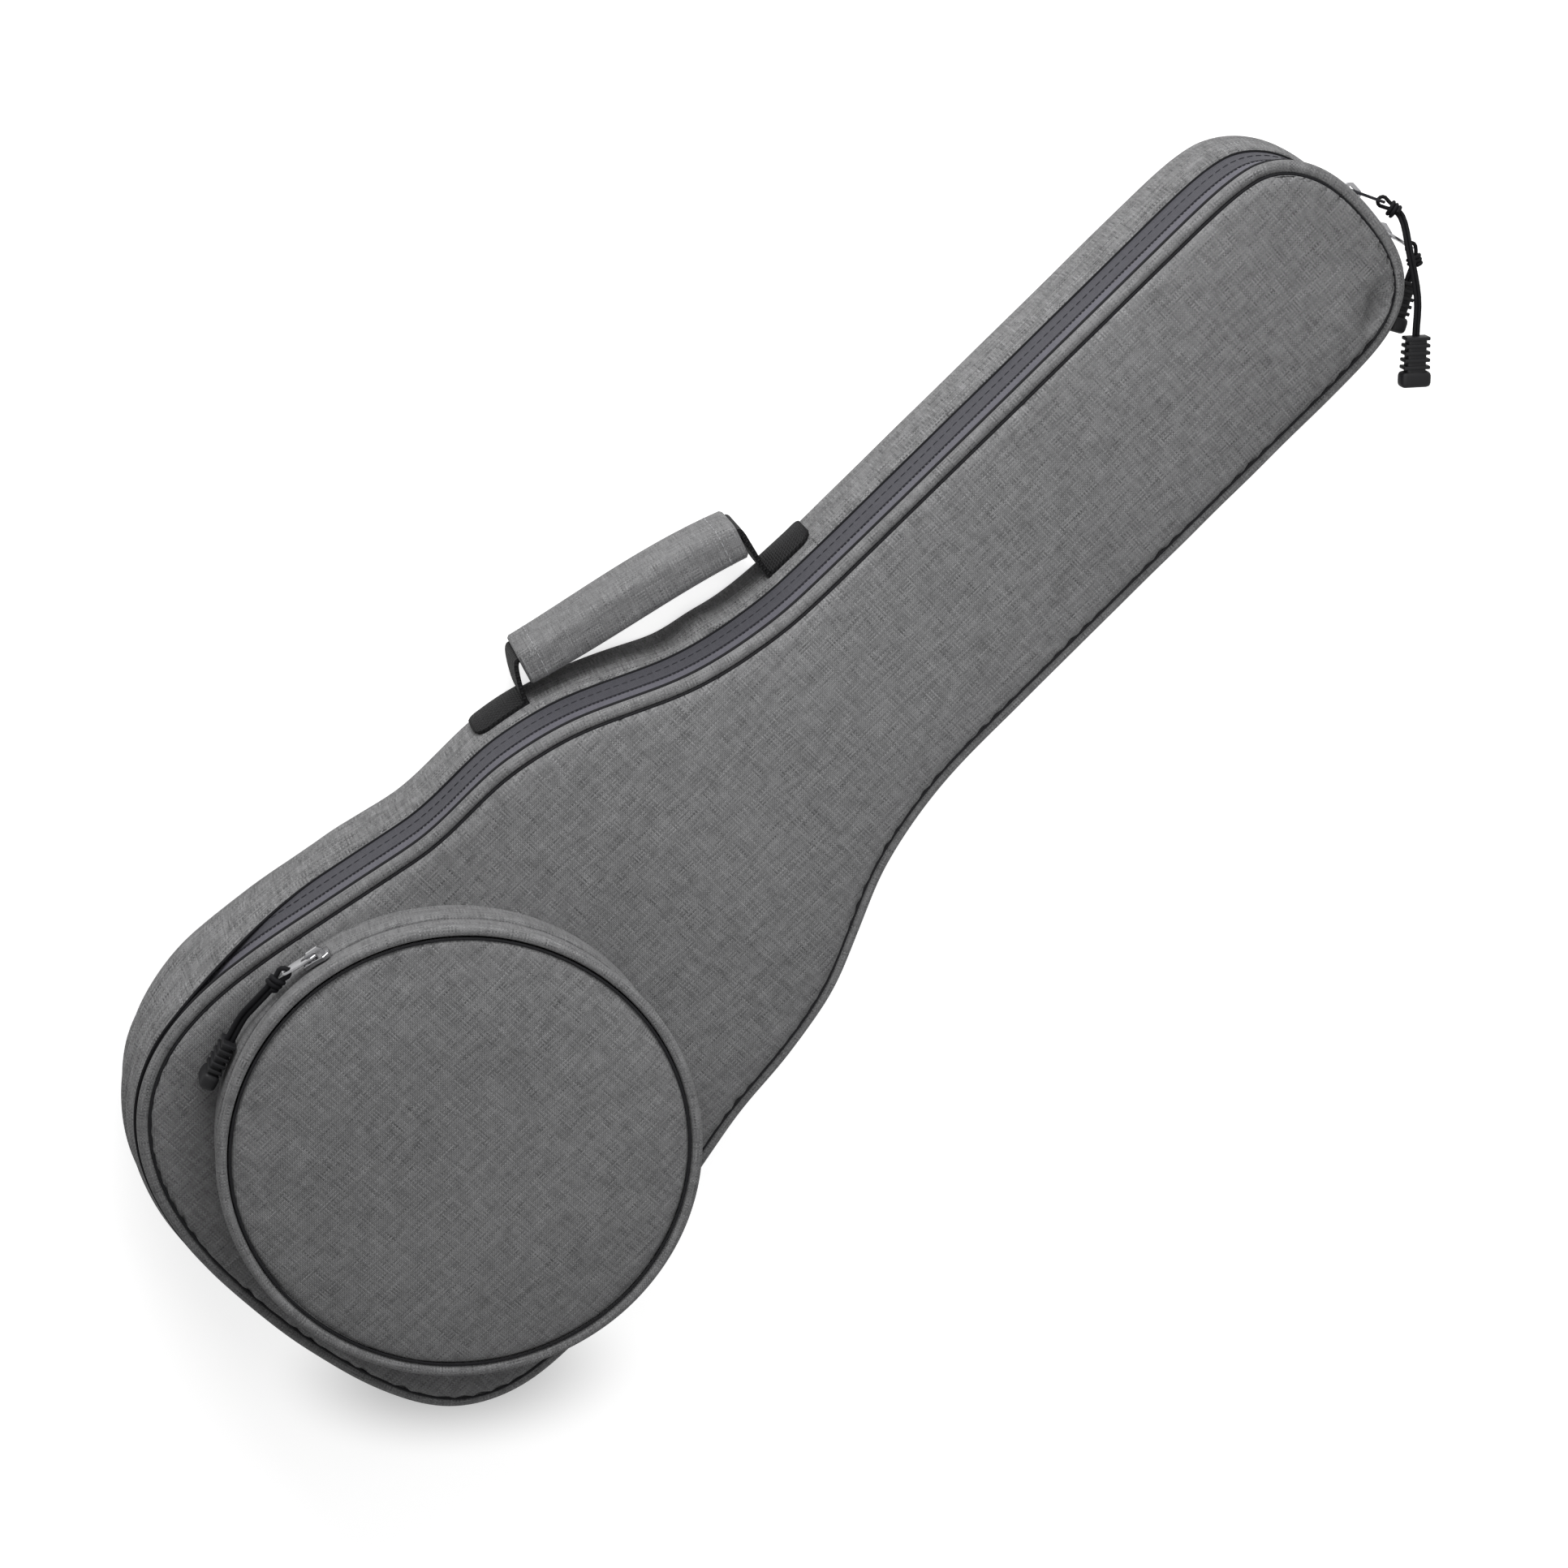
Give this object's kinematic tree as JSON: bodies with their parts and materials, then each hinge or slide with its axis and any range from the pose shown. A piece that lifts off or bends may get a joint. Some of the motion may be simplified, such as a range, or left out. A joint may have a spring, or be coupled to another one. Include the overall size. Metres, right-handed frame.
{
  "type": "ukulele gig bag",
  "caption": "Padded soft gig bag for a soprano ukulele, in grey heather cloth, with a round front pocket, carry handle and cord-pull zips.",
  "frame": {"origin": "middle of the bag's length on its centre line, on the outer face of the back panel", "axes": "+X from the tail to the head, +Y to the side that has the carry handle, +Z out of the front panel; the bag lies on its back"},
  "size_m": [0.6035, 0.211, 0.102],
  "materials": {
    "grey_cloth": "heather woven polyester, matt",
    "dark_lining": "plain nylon lining",
    "black_binding": "ribbed binding tape",
    "foam": "closed-cell foam padding",
    "zipper_tape": "woven tape, blue-grey",
    "nylon_coil": "satin nylon coil",
    "webbing": "black woven webbing",
    "nickel": "nickel plated",
    "gunmetal": "dark plated",
    "rubber": "moulded black rubber and black cord"
  },
  "bodies": {
    "back_shell": {"back_panel": "grey_cloth", "back_padding": "foam", "back_lining": "dark_lining", "gusset_fabric": "grey_cloth", "gusset_padding": "foam", "gusset_lining": "dark_lining", "back_binding": "black_binding", "tub_zipper_tape": "zipper_tape", "tub_zipper_coil": "nylon_coil", "hinge_panel_lower": "grey_cloth", "zipper_stop_tail": "nickel", "zipper_stop_head": "nickel", "handle_anchor_tail": "webbing", "handle_anchor_head": "webbing"},
    "handle": {"handle_webbing": "webbing", "handle_grip": "grey_cloth"},
    "lid": {"front_panel": "grey_cloth", "front_padding": "foam", "front_lining": "dark_lining", "front_piping": "grey_cloth", "front_binding": "black_binding", "lid_zipper_tape": "zipper_tape", "lid_zipper_coil": "nylon_coil", "hinge_panel_upper": "grey_cloth", "pocket_gusset_lower": "grey_cloth", "pocket_gusset_tail": "grey_cloth", "pocket_tape_lower": "zipper_tape", "pocket_coil_lower": "nylon_coil", "pocket_face_tail": "grey_cloth", "pocket_piping_tail": "grey_cloth"},
    "pocket_flap": {"pocket_face_flap": "grey_cloth", "pocket_piping_flap": "grey_cloth", "pocket_gusset_flap": "grey_cloth", "pocket_tape_upper": "zipper_tape", "pocket_coil_upper": "nylon_coil"},
    "slider_main_a": {"slider_a": "nickel"},
    "pull_tab_a": {"tab_a": "gunmetal"},
    "cord_pull_a": {"cord_a": "rubber", "grip_a": "rubber"},
    "slider_main_b": {"slider_b": "nickel"},
    "pull_tab_b": {"tab_b": "nickel"},
    "cord_pull_b": {"cord_b": "rubber", "grip_b": "rubber"},
    "slider_of_pocket": {"slider_pocket": "nickel"},
    "pull_tab_pocket": {"tab_pocket": "nickel"},
    "cord_pull_pocket": {"cord_pocket": "rubber", "grip_pocket": "rubber"}
  },
  "joints": [
    {"name": "lid_fold", "type": "hinge", "parent": "back_shell", "child": "lid", "pos_m": [-0.186, -0.104, 0.052], "axis": [1, 0, 0], "range_deg": [0, 150]},
    {"name": "pocket_fold", "type": "hinge", "parent": "lid", "child": "pocket_flap", "pos_m": [-0.1739, 0, 0.102], "axis": [0, -1, 0], "range_deg": [0, 70]},
    {"name": "handle_swing", "type": "hinge", "parent": "back_shell", "child": "handle", "pos_m": [-0.00953, 0.06013, 0.0175], "axis": [0.9516, -0.3073, 0], "range_deg": [-22, 22], "stiffness_Nm_per_rad": 0.15},
    {"name": "slider_a_run", "type": "slide", "parent": "back_shell", "child": "slider_main_a", "axis": [-0.0325, 0.9995, 0], "range_m": [0, 0.0065]},
    {"name": "tab_a_swing", "type": "hinge", "parent": "slider_main_a", "child": "pull_tab_a", "pos_m": [0.29818, 0.00368, 0.052], "axis": [0, 0, 1], "range_deg": [-2, 120]},
    {"name": "cord_a_swing", "type": "hinge", "parent": "pull_tab_a", "child": "cord_pull_a", "pos_m": [0.30405, -0.00792, 0.052], "axis": [0, 0, 1], "range_deg": [-1, 60]},
    {"name": "slider_b_run", "type": "slide", "parent": "back_shell", "child": "slider_main_b", "axis": [-0.1663, -0.9861, 0], "range_m": [0, 0.01]},
    {"name": "tab_b_swing", "type": "hinge", "parent": "slider_main_b", "child": "pull_tab_b", "pos_m": [0.29736, -0.01695, 0.052], "axis": [0, 0, 1], "range_deg": [-2, 20]},
    {"name": "cord_b_swing", "type": "hinge", "parent": "pull_tab_b", "child": "cord_pull_b", "pos_m": [0.30104, -0.02942, 0.052], "axis": [0, 0, 1], "range_deg": [-1, 45]},
    {"name": "slider_pocket_run", "type": "hinge", "parent": "lid", "child": "slider_of_pocket", "pos_m": [-0.1905, 0, 0.0885], "axis": [0, 0, 1], "range_deg": [-150, 0]},
    {"name": "tab_pocket_swing", "type": "hinge", "parent": "slider_of_pocket", "child": "pull_tab_pocket", "pos_m": [-0.17317, 0.08913, 0.0885], "axis": [0, 0, 1], "range_deg": [-100, 0]},
    {"name": "cord_pocket_swing", "type": "hinge", "parent": "pull_tab_pocket", "child": "cord_pull_pocket", "pos_m": [-0.18579, 0.09228, 0.0885], "axis": [0, 0, 1], "range_deg": [-60, 0]}
  ]
}
